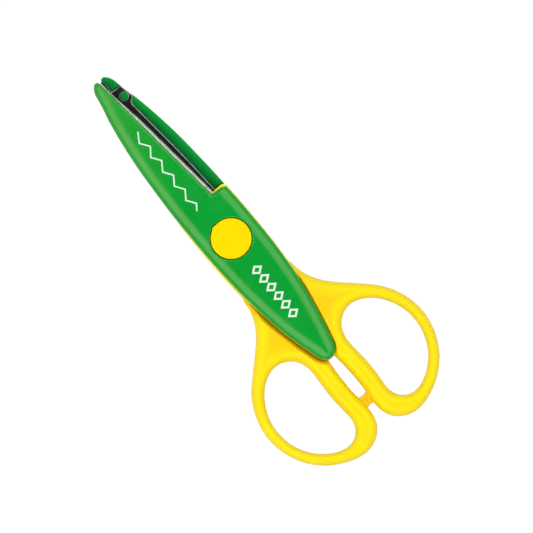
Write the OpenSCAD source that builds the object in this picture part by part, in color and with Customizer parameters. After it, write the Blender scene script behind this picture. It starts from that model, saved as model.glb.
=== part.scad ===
// Decorative edge scissors: two moulded halves with corrugated steel strips,
// hinged on a barrel post. X runs from the pivot to the tips, Z along the pivot
// axis. The origin is on the pivot axis, in the plane the scissors lie on.

/* [Blades] */
// Thickness of the steel strips
steel_t = 0.6; // [0.5:0.05:0.7]
// Clearance between the two strips in the shear surface
blade_gap = 0.1; // [0.08:0.02:0.14]
// Pitch of the corrugation along the blade
wave_pitch = 6.6; // [6:0.1:6.8]
// Height of the corrugation from crest to crest
wave_height = 2.2; // [1.2:0.1:2.2]
// How far the steel stands out past the cover's cutting side
edge_show = 1; // [0.6:0.1:1.2]

/* [Covers] */
// Height of a cover's outer face above the shear plane
cover_top = 6; // [5.8:0.1:6.6]
// Width of the rounding along the covers' outer edges
round_w = 3.2; // [2.4:0.1:3.6]
// Height of that rounding
round_h = 2.3; // [1.6:0.1:2.4]
// How much lower the outer face is at the tip
tip_drop = 1.2; // [0:0.1:1.4]
// Height of the ledge beside the steel strip
ledge_z = 1.4; // [1.3:0.05:1.6]

/* [Handles] */
// Height of the lever plate's outer face above the shear plane
plate_top = 3.2; // [3:0.1:3.3]
// Half thickness of the finger loops
loop_half = 4.5; // [4:0.1:5]
// Rounding of the loops' edges, seen from above
loop_round = 1.8; // [1.4:0.1:1.9]
// Clearance between a handle and the other half's cover
hand_gap = 0.9; // [0.7:0.1:1]

/* [Pivot] */
// Diameter of the hinge barrel
post_d = 5; // [4.6:0.1:5.2]
// Radial running clearance around the barrel
bore_play = 0.05; // [0.03:0.01:0.08]
// Diameter of the screw's shank
shank_d = 3.2; // [3:0.1:3.4]
// Diameter of the screw's head and of the post's flange
head_d = 9; // [8.4:0.1:9.2]
// Diameter of the pivot caps
cap_d = 14.8; // [14:0.1:15]

/* [Hidden] */

green = "#08A43A";
yellow = "#FDE000";
steel = "#C9CED2";

half_gap = blade_gap / 2;
flat_r = 20;                          // the corrugation starts here
waves = 6;                            // full waves along the blade
wave_end = flat_r + waves * wave_pitch;
amp = wave_height / 2;
seat = 0.03;                          // moulding clearance under the steel
tip_x = 74.4;
butt_x = -56.2;
shoulder_x = 16.6;
plate_x = 17.3;
stake = [64, 3.4];
pegs = [[-30, -1], [-43, -0.8]];

// ---- outline tables: hand-set points, x ascending ----
// outer edge of a cover (the +Y side of the front half)
outer_tab = [[-60, 1.6], [-50, 4.35], [-45, 5.7], [-40, 6.85], [-35, 7.85], [-30, 8.65],
             [-20, 9.9], [-10, 10.6], [0, 10.9], [10, 10.9], [20, 10.75], [30, 10.2],
             [40, 9.5], [50, 8.3], [60, 6.65], [66, 5.25], [70, 4.5], [76, 3.4]];
// opposite edge of a cover behind the shoulder
inner_tab = [[-60, -2.2], [-50, -4.9], [-45, -6.05], [-40, -7.1], [-35, -8.1], [-30, -9],
             [-20, -10.3], [-10, -10.95], [0, -11.1], [10, -11.05], [20, -10.6]];
// outer edge of a steel strip
strip_tab = [[0, 7.2], [10, 6.9], [20, 6.5], [30, 6.1], [40, 5.4], [50, 4.6], [60, 3.9]];
// finger loop, outer line, loop drawn on the +Y side
loop_outer = [[-18, 10.7], [-24, 11.4], [-28, 12.8], [-32, 15.1], [-36, 18.7], [-40, 22.9],
              [-44, 27.1], [-48, 30.8], [-52, 33.3], [-56, 34.9], [-60, 35.9], [-64, 36.3],
              [-68, 35.9], [-72, 35], [-76, 33.4], [-80, 30.9], [-84, 27.2], [-87, 23],
              [-89, 18.8], [-90.2, 15], [-90.5, 11.6], [-90, 8.9], [-88.7, 6], [-86.5, 3.5],
              [-84, 2.1], [-81, 1.4], [-76, 1.5], [-71, 2], [-66, 2], [-61, 1.8],
              [-56.5, 1.4]];
loop_close = [[-48, 0.6], [-36, 0.5], [-24, 0.5], [-16, 2], [-14, 7]];
// finger hole
loop_hole = [[-84.8, 15.8], [-83.6, 20], [-81, 24.2], [-77, 28.1], [-72, 30.7], [-67, 31.9],
             [-62, 31.9], [-57.5, 30.9], [-53, 28.6], [-49.5, 25.9], [-46.8, 22.2], [-45.4, 17.5],
             [-46.6, 13.4], [-49.4, 10.2], [-54, 8.6], [-60, 8.9], [-66, 9.25], [-72, 9.05],
             [-78, 8.5], [-82, 10], [-84.1, 12.6]];

// ---- functions ----
function cut_y(x) = -5.2 + 0.0946 * (x - 17);              // cover's cutting side
function edge_y(x) = cut_y(x) - edge_show;                 // steel's cutting edge

// cubic through a table of [x, y], x ascending
function slope(t, i) = let (a = max(i - 1, 0), b = min(i + 1, len(t) - 1))
    (t[b].y - t[a].y) / (t[b].x - t[a].x);
function find(t, x, i = 0) = (i >= len(t) - 2 || x < t[i + 1].x) ? i : find(t, x, i + 1);
function along(t, x) = let (i = find(t, x), h = t[i + 1].x - t[i].x, u = (x - t[i].x) / h)
    (2*u*u*u - 3*u*u + 1) * t[i].y + (u*u*u - 2*u*u + u) * h * slope(t, i)
    + (3*u*u - 2*u*u*u) * t[i + 1].y + (u*u*u - u*u) * h * slope(t, i + 1);

// closed smooth curve through points, n steps between each two
function crom(a, b, c, d, u) = 0.5 * (2*b + (c - a)*u + (2*a - 5*b + 4*c - d)*u*u
    + (3*b - a - 3*c + d)*u*u*u);
function smooth(p, n) = let (m = len(p)) [for (i = [0 : m - 1], k = [0 : n - 1])
    crom(p[(i + m - 1) % m], p[i], p[(i + 1) % m], p[(i + 2) % m], k / n)];

// quarter-round fall of an edge towards an end at distance d, over length a
function round_end(d, a) = d >= a ? 1 : sqrt(max(0.03, 1 - pow(1 - d / a, 2)));

function y_out(x) = let (t = round_end(tip_x - x, 4), b = round_end(x - butt_x, 3.6))
    x > 60 ? 1 + (along(outer_tab, x) - 1) * t : along(outer_tab, x) * b;
function y_in(x) = along(inner_tab, x) * round_end(x - butt_x, 3.6);
function y_cut(x) = 1 + (cut_y(x) - 1) * round_end(tip_x - x, 1.3);
function ease(u) = let (v = min(max(u, 0), 1)) v * v * (3 - 2 * v);
function top_z(x) = (cover_top - tip_drop * ease((x - 44) / 31)) ;
function roof(x) = let (w = top_z(x) - round_h)
    w + round_h * round_end(min(tip_x - x, x - butt_x), 4);

// one cross-section at x between y0 and y1, edges rounded over a0 and a1
function ring(x, y0, y1, a0, a1, low) =
    let (w = y1 - y0, e0 = min(a0, 0.48 * w), e1 = min(a1, 0.48 * w), z = roof(x),
         g0 = round_h * e0 / max(a0, 0.01) * min(1, a0 / 1.6), g1 = round_h * e1 / a1)
    concat([[x, y0, low]],
           [for (k = [0 : 5]) [x, y0 + e0 * (1 - cos(18 * k)), z - g0 * (1 - sin(18 * k))]],
           [for (k = [5 : -1 : 0]) [x, y1 - e1 * (1 - cos(18 * k)), z - g1 * (1 - sin(18 * k))]],
           [[x, y1, low]]);

module skin(rings) {
    n = len(rings[0]);
    m = len(rings);
    polyhedron(points = [for (r = rings) for (p = r) p],
        faces = concat([[for (j = [n - 1 : -1 : 0]) j]],
            [for (i = [0 : m - 2], j = [0 : n - 1]) let (k = (j + 1) % n)
                [i*n + j, i*n + k, (i + 1)*n + j]],
            [for (i = [0 : m - 2], j = [0 : n - 1]) let (k = (j + 1) % n)
                [i*n + k, (i + 1)*n + k, (i + 1)*n + j]],
            [[for (j = [0 : n - 1]) (m - 1)*n + j]]), convexity = 6);
}

// stations closer together at rounded ends
body_x = concat([butt_x, -56.1, -55.8, -55.3, -54.6, -53.6],
                [for (i = [0 : 15]) -52 + 4.5 * i], [shoulder_x]);
blade_x = concat([shoulder_x + 0.1, plate_x + 0.25, plate_x + 0.3],
                 [for (i = [0 : 12]) 20 + 4 * i], [68.25, 68.35, 70.2, 71.6, 72.6, 73.3, 73.9, tip_x]);
// lowest face of the shell: above the lever plate, then the ledge, then the tip's block
function low_z(x) = x < plate_x + 0.28 ? plate_top + 0.02 : x < 68.3 ? ledge_z : 0.1;

// ---- shared 2D outlines ----
module cover_2d(n = 3) {
    polygon(concat([for (x = body_x) [x, y_out(x)]],
                   [for (i = [1 : len(blade_x) - 1]) [blade_x[i], y_out(blade_x[i])]],
                   [for (i = [len(blade_x) - 1 : -1 : 0]) [blade_x[i], y_cut(blade_x[i])]],
                   [for (i = [len(body_x) - 1 : -1 : 0]) [body_x[i], y_in(body_x[i])]]));
}

module loop_2d() mirror([0, 1]) difference() {
    polygon(smooth(concat(loop_outer, loop_close), 2));
    polygon(smooth(loop_hole, 2));
}

// lever plate, slightly wider than the cover so that a thin rim shows
module plate_2d() intersection() {
    union() {
        polygon(concat([for (x = body_x) if (x < 15) [max(x, butt_x) , y_out(x) + 0.3]],
                       [[15, 11.2], [16.6, 10.9], [plate_x, 9.8], [plate_x, -9.8], [16.6, -11], [15, -11.4]],
                       [for (i = [len(body_x) - 1 : -1 : 0]) let (x = body_x[i])
                           if (x < 15) [x, y_in(x) - 0.3]]));
    }
    translate([-60, -40]) square([80, 80]);
}

// steel strip with its tang, its tab and the narrow lip that runs on to the tip
module strip_2d() polygon(concat(
    [for (a = [250 : -10 : 110]) 7.2 * [cos(a), sin(a)]],
    [for (x = [0 : 5 : 60]) [x, along(strip_tab, x)]],
    [[60.8, 4.1], [61.6, 5], [62.4, 5.6], [66, 4.95], [68, 4.55], [68, 1.4], [73, 1.4],
     [73.4, edge_y(73.4) + 0.4], [73, edge_y(73)]],
    [[68, edge_y(68)], [17, edge_y(17)], [8, -7], [0, -7.2]]));

// the strip's bed in the cover, a little wider than the strip
module bed_2d() polygon(concat(
    [for (x = [17.2, 22, 27, 32, 37, 42, 47, 52, 56, 60]) [x, along(strip_tab, x) + 0.15]],
    [[60.7, 4.3], [61.4, 5.1], [62.2, 5.8], [66.1, 5.1], [68.2, 4.7], [68.2, 1.55], [73.2, 1.55],
     [73.6, edge_y(73.6) + 0.2], [73.6, edge_y(73.6) - 1], [17.2, edge_y(17.2) - 1]]));

// ---- the shear surface: a zigzag in the distance from the pivot, so that the
// two strips slide on each other at every opening ----
wave_pts = concat([[0, 0], [flat_r, 0]],
    [for (i = [0 : waves - 1]) each [[flat_r + (i + 0.25) * wave_pitch, amp],
                                      [flat_r + (i + 0.75) * wave_pitch, -amp]]],
    [[wave_end, 0], [80, 0]]);

// solid of revolution between the shear surface raised by z0 and by z1;
// s is 1 for the front half and -1 for the rear half, drawn upside down
module wave_band(s, z0, z1) rotate_extrude($fn = 180)
    polygon(concat([for (p = wave_pts) [p.x, s * p.y + z0]],
                   [for (i = [len(wave_pts) - 1 : -1 : 0]) [wave_pts[i].x, s * wave_pts[i].y + z1]]));
module wave_below(s, z1) rotate_extrude($fn = 180)
    polygon(concat([[0, -20], [80, -20]],
                   [for (i = [len(wave_pts) - 1 : -1 : 0]) [wave_pts[i].x, s * wave_pts[i].y + z1]]));

// ---- one half, drawn as the front one, shear plane at z = 0 ----
module front_place() translate([0, 0, cover_top]) children();
module rear_place() translate([0, 0, cover_top]) rotate([180, 0, 0]) children();

module blade(s) difference() {
    intersection() {
        wave_band(s, half_gap, half_gap + steel_t);
        translate([0, 0, -5]) linear_extrude(10) strip_2d();
    }
    translate([0, 0, -5]) cylinder(d = post_d + 2 * bore_play, h = 10, $fn = 64);
    translate([stake.x, stake.y, -5]) cylinder(d = 2.2, h = 10, $fn = 32);
}

// plastic under the steel strip, between the cutting side and the strip's outer edge
module backing_2d() polygon(concat(
    [for (x = [17.7, 22, 27, 32, 37, 42, 47, 52, 56, 60]) [x, along(strip_tab, x)]],
    [[61.6, 4.9], [62.4, 5.4], [66, 4.8], [67.8, 4.4]],
    [[67.8, cut_y(67.8) + 0.1], [17.7, cut_y(17.7) + 0.1]]));

module cover(s) difference() {
    union() {
        skin(concat([for (x = body_x) ring(x, y_in(x), y_out(x), round_w, round_w, low_z(x))],
                    [for (x = blade_x) ring(x, y_cut(x), y_out(x), 0.8, round_w, low_z(x))]));
        translate([0, 0, -1.2]) linear_extrude(3.6) backing_2d();
        for (p = pegs) translate([p.x, p.y, plate_top - 2]) cylinder(d = 2.8, h = 2.5, $fn = 32);
    }
    // bed of the steel strip, corrugated like it
    intersection() {
        wave_below(s, half_gap + steel_t + seat);
        translate([0, 0, -10]) linear_extrude(16) bed_2d();
    }
    cylinder(d = 11, h = 20, $fn = 64);
    translate([0, 0, 4.6]) cylinder(d = cap_d + 0.6, h = 10, $fn = 96);
}

// heat stake through the strip's tab
module stake_pin() {
    translate([stake.x, stake.y, 0]) cylinder(d = 2, h = 2, $fn = 32);
    translate([stake.x, stake.y, 0]) rotate_extrude($fn = 32)
        polygon([[0, -0.35], [0.9, -0.3], [1.4, -0.12], [1.6, half_gap - 0.01], [0, half_gap - 0.01]]);
}

module handle_body() difference() {
    union() {
        minkowski() {
            linear_extrude(2 * (loop_half - 3.4), center = true) offset(r = -loop_round) loop_2d();
            scale([loop_round, loop_round, 3.4]) sphere(r = 1, $fn = 12);
        }
        translate([0, 0, half_gap]) linear_extrude(plate_top - half_gap) plate_2d();
        // closing stop
        translate([-78.1, -3.4, -3.4]) cube([4.6, 3.35, 6.8]);
    }
    // room for the other half, below the shear plane
    translate([0, 0, -20]) linear_extrude(20 + half_gap) {
        offset(r = hand_gap) mirror([0, 1]) cover_2d();
        translate([-22, -30]) square([60, 60]);
    }
    // room for the other half's handle beside the plate
    translate([0, 0, plate_top]) linear_extrude(20) {
        offset(delta = 0.1) cover_2d();
        translate([-22, -30]) square([60, 60]);
    }
    // bed of the steel tang
    translate([0, 0, -1]) linear_extrude(1 + half_gap + steel_t + seat) offset(delta = 0.2) strip_2d();
    for (p = pegs) translate([p.x, p.y, plate_top - 2.2]) cylinder(d = 3, h = 5, $fn = 24);
}

module handle() difference() {
    resize([0, 0, 0]) handle_body();
    translate([0, 0, -5]) cylinder(d = post_d + 2 * bore_play, h = 20, $fn = 64);
}

module cap() difference() {
    union() {
        rotate_extrude($fn = 96) polygon([[0, 4.95], [4.6, 4.95], [4.8, 3.8], [5.4, 3.8], [5.45, 4.62],
            [cap_d / 2, 4.62], [cap_d / 2, cover_top - 0.45], [cap_d / 2 - 0.15, cover_top - 0.14],
            [cap_d / 2 - 0.5, cover_top], [0, cover_top]]);
    }
    // pry notch in the rim
    rotate([0, 0, 20]) translate([cap_d / 2 - 0.25, -3, 4]) cube([2, 6, 4]);
}

// ---- nodes ----
module front_cover() color(green) front_place() { cover(1); stake_pin(); }
module rear_cover() color(green) rear_place() { cover(-1); stake_pin(); }
module front_handle() color(yellow) front_place() handle();
module rear_handle() color(yellow) rear_place() handle();
module front_blade() color(steel) front_place() blade(1);
module rear_blade() color(steel) rear_place() blade(-1);
module front_cap() color(yellow) front_place() cap();
module rear_cap() color(yellow) rear_place() cap();

// barrel with its flange against the rear lever plate
module pivot_post() color(steel) translate([0, 0, cover_top]) difference() {
    union() {
        translate([0, 0, -plate_top - 0.1]) cylinder(d = post_d, h = 2 * plate_top, $fn = 64);
        translate([0, 0, -plate_top - 1.3]) cylinder(d = head_d, h = 1.28, $fn = 64);
    }
    translate([0, 0, -2.6]) cylinder(d = shank_d + 0.1, h = 10, $fn = 48);
}

module pivot_screw() color(steel) translate([0, 0, cover_top]) difference() {
    union() {
        translate([0, 0, -2.4]) cylinder(d = shank_d, h = plate_top + 3.2, $fn = 48);
        translate([0, 0, plate_top + 0.74]) cylinder(d = head_d, h = 0.9, $fn = 64);
    }
    translate([-0.6, -6, plate_top + 1.2]) cube([1.2, 12, 2]);
}

module spring_washer() color(steel) translate([0, 0, cover_top + plate_top + 0.02]) rotate_extrude($fn = 64)
    polygon([[2.8, 0.18], [4.3, 0], [4.3, 0.25], [2.8, 0.43]]);

module flat_washer() color(steel) translate([0, 0, cover_top + plate_top + 0.46]) difference() {
    cylinder(r = 4.3, h = 0.26, $fn = 64);
    translate([0, 0, -1]) cylinder(d = shank_d + 0.4, h = 3, $fn = 48);
}

rear_cover();
rear_handle();
rear_blade();
rear_cap();
front_cover();
front_handle();
front_blade();
front_cap();
pivot_post();
pivot_screw();
spring_washer();
flat_washer();
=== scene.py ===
import math

import bmesh
import bpy
import numpy as np
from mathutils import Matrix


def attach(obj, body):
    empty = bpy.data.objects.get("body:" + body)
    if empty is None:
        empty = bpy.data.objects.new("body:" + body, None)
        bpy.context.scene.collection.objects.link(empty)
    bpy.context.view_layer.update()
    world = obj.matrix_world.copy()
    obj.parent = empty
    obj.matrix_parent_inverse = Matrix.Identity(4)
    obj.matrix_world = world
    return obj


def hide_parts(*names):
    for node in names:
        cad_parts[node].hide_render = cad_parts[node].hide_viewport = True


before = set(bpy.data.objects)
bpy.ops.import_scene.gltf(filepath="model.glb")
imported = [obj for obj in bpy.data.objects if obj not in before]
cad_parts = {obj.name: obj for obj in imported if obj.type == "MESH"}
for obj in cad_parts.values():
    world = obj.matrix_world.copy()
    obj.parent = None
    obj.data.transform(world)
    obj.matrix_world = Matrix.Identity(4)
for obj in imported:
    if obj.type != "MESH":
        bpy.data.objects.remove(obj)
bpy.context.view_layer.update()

MM = 0.001
Z0 = 6.0                      # the shear plane above the rest plane, mm
FLIP = np.array([1.0, -1.0, -1.0])

# ------------------------------------------------------------------ plan of one half, mm, shear plane at z = 0
TIP, BUTT, SHOULDER, PLATE_X = 74.4, -56.2, 16.6, 17.3
COVER_TOP, ROUND_W, ROUND_H, TIP_DROP, LEDGE = 6.0, 5.2, 2.3, 1.2, 1.4
PLATE_TOP, LOOP_HALF, HAND_GAP = 3.2, 4.5, 0.9
HALF_GAP, STEEL_T, SEAT = 0.05, 0.6, 0.03
PITCH, AMP, FLAT_R, WAVES = 6.6, 1.1, 20.0, 6
WAVE_END = FLAT_R + WAVES * PITCH
CAP_R = 7.4
STAKE = (64.0, 3.4)

OUTER = np.array([[-60, 1.6], [-50, 4.38], [-45, 5.8], [-40, 7.0], [-35, 7.97], [-30, 8.75],
                  [-20, 9.9], [-10, 10.6], [0, 10.9], [10, 10.92], [20, 10.8], [30, 10.28],
                  [40, 9.58], [50, 8.38], [60, 6.7], [66, 5.25], [70, 4.5], [76, 3.4]], float)
INNER = np.array([[-60, -2.2], [-50, -4.98], [-45, -6.23], [-40, -7.35], [-35, -8.35], [-30, -9.2],
                  [-20, -10.3], [-10, -10.95], [0, -11.1], [10, -11.05], [20, -10.6]], float)
STRIP = np.array([[0, 7.2], [10, 7.0], [20, 6.7], [30, 6.28], [40, 5.58], [50, 4.72], [60, 3.9]], float)
LOOP_OUTER = [[-18, 10.7], [-24, 11.4], [-28, 12.8], [-32, 15.1], [-36, 18.7], [-40, 22.9],
              [-44, 27.1], [-48, 30.8], [-52, 33.3], [-56, 34.9], [-60, 35.9], [-64, 36.3],
              [-68, 35.9], [-72, 35], [-76, 33.4], [-80, 30.9], [-84, 27.2], [-87, 23],
              [-89, 18.8], [-90.2, 15], [-90.5, 11.6], [-90, 8.9], [-88.7, 6], [-86.5, 3.5],
              [-84, 2.1], [-81, 1.4], [-76, 1.5], [-71, 2], [-66, 2], [-61, 1.8],
              [-56.5, 1.4]]
LOOP_CLOSE = [[-48, 0.6], [-36, 0.5], [-24, 0.5], [-16, 2], [-14, 7]]
LOOP_HOLE = [[-84.8, 15.8], [-83.6, 20], [-81, 24.2], [-77, 28.1], [-72, 30.7], [-67, 31.9],
             [-62, 31.9], [-57.5, 30.9], [-53, 28.6], [-49.5, 25.9], [-46.8, 22.2], [-45.4, 17.5],
             [-46.6, 13.4], [-49.4, 10.2], [-54, 8.6], [-60, 8.9], [-66, 9.25], [-72, 9.05],
             [-78, 8.5], [-82, 10], [-84.1, 12.6]]


def along(tab, x):
    """Cubic through a table of (x, y), as the CAD draws it."""
    x = np.asarray(x, float)
    i = np.clip(np.searchsorted(tab[:, 0], x, side="right") - 1, 0, len(tab) - 2)
    lo, hi = np.maximum(np.arange(len(tab)) - 1, 0), np.minimum(np.arange(len(tab)) + 1, len(tab) - 1)
    m = (tab[hi, 1] - tab[lo, 1]) / (tab[hi, 0] - tab[lo, 0])
    h = tab[i + 1, 0] - tab[i, 0]
    u = (x - tab[i, 0]) / h
    return ((2 * u**3 - 3 * u**2 + 1) * tab[i, 1] + (u**3 - 2 * u**2 + u) * h * m[i]
            + (3 * u**2 - 2 * u**3) * tab[i + 1, 1] + (u**3 - u**2) * h * m[i + 1])


def loop_curve(p, n):
    """Closed smooth curve through points, n steps between each two."""
    p = np.array(p, float)
    a, b, c, d = (np.roll(p, k, 0) for k in (1, 0, -1, -2))
    u = (np.arange(n) / n)[None, :, None]
    a, b, c, d = (q[:, None, :] for q in (a, b, c, d))
    q = 0.5 * (2 * b + (c - a) * u + (2 * a - 5 * b + 4 * c - d) * u * u + (3 * b - a - 3 * c + d) * u**3)
    return q.reshape(-1, 2)


def evened(q, sigma):
    """The closed curve resampled evenly and averaged along its length, so that its curvature runs smoothly."""
    q = np.vstack([q, q[:1]])
    run = np.concatenate([[0], np.cumsum(np.linalg.norm(np.diff(q, axis=0), axis=1))])
    n = int(run[-1] / 0.5)
    at = np.arange(n) * run[-1] / n
    q = np.stack([np.interp(at, run, q[:, k]) for k in (0, 1)], 1)
    k = np.arange(-int(sigma * 8), int(sigma * 8) + 1)
    w = np.exp(-0.5 * (k * 0.5 / sigma) ** 2)
    w /= w.sum()
    return sum(wk * np.roll(q, -kk, 0) for kk, wk in zip(k, w))


def cut_y(x):
    return -4.97 + 0.0946 * (x - 17)


def ease(u):
    v = np.clip(u, 0, 1)
    return v * v * (3 - 2 * v)


def edge_y(x):
    return cut_y(x) - 1.0 + 0.66 * ease((np.asarray(x, float) - 50) / 20)


def round_end(d, a):
    return np.sqrt(np.clip(1 - (1 - np.clip(d / a, 0, 1)) ** 2, 0, 1))


def y_out(x):
    t, b = round_end(TIP - x, 4.0), round_end(x - BUTT, 3.6)
    return np.where(x > 60, 1 + (along(OUTER, x) - 1) * t, along(OUTER, x) * b)


def y_in(x):
    return along(INNER, x) * round_end(x - BUTT, 3.6)


def top_z(x):
    return COVER_TOP - TIP_DROP * ease((x - 44) / 31)


def wave(r):
    """The shear surface's height at distance r from the pivot."""
    u = ((r - FLAT_R) / PITCH) % 1.0
    tri = np.where(u < 0.25, 4 * u, np.where(u < 0.75, 2 - 4 * u, 4 * u - 4))
    return np.where((r > FLAT_R) & (r < WAVE_END), AMP * tri, 0.0)


# ------------------------------------------------------------------ distance fields and meshing
def distance(px, py, poly, closed=True):
    """Distance from each point to a polyline; positive inside a closed one."""
    a = np.asarray(poly, float)
    b = np.roll(a, -1, 0) if closed else a[1:]
    a = a if closed else a[:-1]
    best = np.full(px.shape, 1e9)
    inside = np.zeros(px.shape, bool)
    for (x1, y1), (x2, y2) in zip(a, b):
        dx, dy = x2 - x1, y2 - y1
        l2 = dx * dx + dy * dy
        if l2 < 1e-14:
            continue
        t = np.clip(((px - x1) * dx + (py - y1) * dy) / l2, 0, 1)
        best = np.minimum(best, (px - x1 - t * dx) ** 2 + (py - y1 - t * dy) ** 2)
        if closed and dy != 0:
            hit = ((y1 > py) != (y2 > py)) & (px < dx * (py - y1) / dy + x1)
            inside ^= hit
    d = np.sqrt(best)
    return np.where(inside, d, -d) if closed else d


class Field:
    """A function of (x, y) kept on a fine grid, so that it can be looked up quickly."""

    def __init__(self, x0, x1, y0, y1, step, fn, soft=0.0):
        self.x0, self.y0, self.h = x0, y0, step
        gx, gy = np.meshgrid(np.arange(x0, x1 + step, step), np.arange(y0, y1 + step, step), indexing="ij")
        self.v = fn(gx, gy)
        if soft:
            k = np.arange(-int(3 * soft / step), int(3 * soft / step) + 1)
            w = np.exp(-0.5 * (k * step / soft) ** 2)
            w /= w.sum()
            m = len(k) // 2
            v = np.pad(self.v, m, mode="edge")
            v = sum(wk * v[i:i + self.v.shape[0]] for i, wk in enumerate(w))
            self.v = sum(wk * v[:, i:i + self.v.shape[1]] for i, wk in enumerate(w))

    def __call__(self, x, y):
        u = np.clip((x - self.x0) / self.h, 0, self.v.shape[0] - 1.001)
        w = np.clip((y - self.y0) / self.h, 0, self.v.shape[1] - 1.001)
        i, j = u.astype(int), w.astype(int)
        u, w = u - i, w - j
        v = self.v
        return ((v[i, j] * (1 - w) + v[i, j + 1] * w) * (1 - u)
                + (v[i + 1, j] * (1 - w) + v[i + 1, j + 1] * w) * u)


def smax(a, b, k):
    h = np.clip(0.5 + 0.5 * (a - b) / k, 0, 1)
    return b + (a - b) * h + k * h * (1 - h)


def smin(a, b, k):
    return -smax(-a, -b, k)


def surface(fn, lo, hi, h, rounds=4):
    """Closed quad mesh of fn = 0 inside a box: one vertex in each crossed cell, then pulled onto the surface."""
    ax = [np.arange(lo[k], hi[k] + h, h) for k in range(3)]
    n = [len(a) for a in ax]
    val = np.empty(n, np.float32)
    gx, gy = np.meshgrid(ax[0], ax[1], indexing="ij")
    for k, z in enumerate(ax[2]):
        val[:, :, k] = fn(gx, gy, np.full_like(gx, z))
    val[[0, -1]] = np.maximum(val[[0, -1]], 0.01)
    val[:, [0, -1]] = np.maximum(val[:, [0, -1]], 0.01)
    val[:, :, [0, -1]] = np.maximum(val[:, :, [0, -1]], 0.01)
    neg = val < 0
    acc = np.zeros([n[0] - 1, n[1] - 1, n[2] - 1, 3], np.float32)
    cnt = np.zeros([n[0] - 1, n[1] - 1, n[2] - 1], np.float32)
    cross = []
    for d in range(3):
        sl0 = [slice(None)] * 3
        sl1 = [slice(None)] * 3
        sl0[d], sl1[d] = slice(0, -1), slice(1, None)
        a, b = val[tuple(sl0)], val[tuple(sl1)]
        c = neg[tuple(sl0)] != neg[tuple(sl1)]
        cross.append((c, neg[tuple(sl0)]))
        idx = np.argwhere(c)
        t = a[c] / (a[c] - b[c])
        o = [k for k in range(3) if k != d]
        for s in (0, 1):
            for r in (0, 1):
                cell = idx.copy()
                cell[:, o[0]] -= s
                cell[:, o[1]] -= r
                ok = ((cell >= 0) & (cell < np.array(cnt.shape))).all(1)
                q = np.zeros((len(idx), 3), np.float32)
                q[:, d] = t
                q[:, o[0]] = s
                q[:, o[1]] = r
                f = np.ravel_multi_index(cell[ok].T, cnt.shape)
                for k in range(3):
                    acc[..., k] += np.bincount(f, q[ok, k], cnt.size).reshape(cnt.shape).astype(np.float32)
                cnt += np.bincount(f, minlength=cnt.size).reshape(cnt.shape).astype(np.float32)
    used = cnt > 0
    cells = np.argwhere(used)
    p = (cells + acc[used] / cnt[used][:, None]) * h + np.array([a[0] for a in ax])
    index = np.full(cnt.shape, -1, np.int64)
    index[used] = np.arange(len(cells))
    faces = []
    for d in range(3):
        c, inner = cross[d]
        o = [k for k in range(3) if k != d]
        idx = np.argwhere(c)
        ok = (idx[:, o[0]] > 0) & (idx[:, o[1]] > 0) & (idx[:, o[0]] < n[o[0]] - 1) & (idx[:, o[1]] < n[o[1]] - 1)
        idx = idx[ok]
        flip = inner[tuple(idx.T)]
        quad = []
        for s, r in ((1, 1), (0, 1), (0, 0), (1, 0)):
            q = idx.copy()
            q[:, o[0]] -= s
            q[:, o[1]] -= r
            quad.append(index[tuple(q.T)])
        quad = np.stack(quad, 1)
        if d == 1:
            flip = ~flip
        quad[~flip] = quad[~flip][:, ::-1]
        faces.append(quad)
    faces = np.concatenate(faces)
    e = 0.02
    start = p.copy()
    for _ in range(rounds):
        f = fn(p[:, 0], p[:, 1], p[:, 2])
        g = np.stack([fn(p[:, 0] + e * (k == 0), p[:, 1] + e * (k == 1), p[:, 2] + e * (k == 2))
                      - fn(p[:, 0] - e * (k == 0), p[:, 1] - e * (k == 1), p[:, 2] - e * (k == 2))
                      for k in range(3)], 1) / (2 * e)
        g2 = np.maximum((g * g).sum(1), 0.05)
        step = -(f / g2)[:, None] * g
        size = np.linalg.norm(step, axis=1, keepdims=True)
        p = p + step * np.minimum(1, 0.4 * h / np.maximum(size, 1e-9))
        off = p - start
        size = np.linalg.norm(off, axis=1, keepdims=True)
        p = start + off * np.minimum(1, 0.9 * h / np.maximum(size, 1e-9))
    return p, faces


def make_mesh(name, p, faces, body, replaces=(), smooth=True, flip=False, mats=(), face_mat=None):
    """A mesh object from points in the half's own frame (mm); flip draws the rear half."""
    p = np.array(p, float)
    if flip:
        p = p * FLIP
    p = (p + np.array([0, 0, Z0])) * MM
    me = bpy.data.meshes.new(name)
    me.from_pydata(p.tolist(), [], [list(map(int, f)) for f in faces])
    me.validate()
    me.update()
    ob = bpy.data.objects.new(name, me)
    bpy.context.scene.collection.objects.link(ob)
    me.polygons.foreach_set("use_smooth", [smooth] * len(me.polygons))
    for m in mats:
        me.materials.append(m)
    if face_mat is not None:
        me.polygons.foreach_set("material_index", np.asarray(face_mat, np.int32))
    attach(ob, body)
    if replaces:
        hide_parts(*replaces)
    return ob


# ------------------------------------------------------------------ materials
def node_set(name):
    m = bpy.data.materials.new(name)
    m.use_nodes = True
    t = m.node_tree
    return m, t, t.nodes["Principled BSDF"]


def noise(t, coord, scale, detail=3.0, rough=0.55):
    n = t.nodes.new("ShaderNodeTexNoise")
    n.inputs["Scale"].default_value = scale
    n.inputs["Detail"].default_value = detail
    n.inputs["Roughness"].default_value = rough
    t.links.new(coord, n.inputs["Vector"])
    return n.outputs["Fac"]


def ramp(t, fac, stops):
    r = t.nodes.new("ShaderNodeValToRGB")
    e = r.color_ramp.elements
    e[0].position, e[0].color = stops[0][0], stops[0][1]
    e[1].position, e[1].color = stops[-1][0], stops[-1][1]
    for p, c in stops[1:-1]:
        k = e.new(p)
        k.color = c
    t.links.new(fac, r.inputs["Fac"])
    return r.outputs["Color"]


def grey(v):
    return (v, v, v, 1.0)


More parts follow.
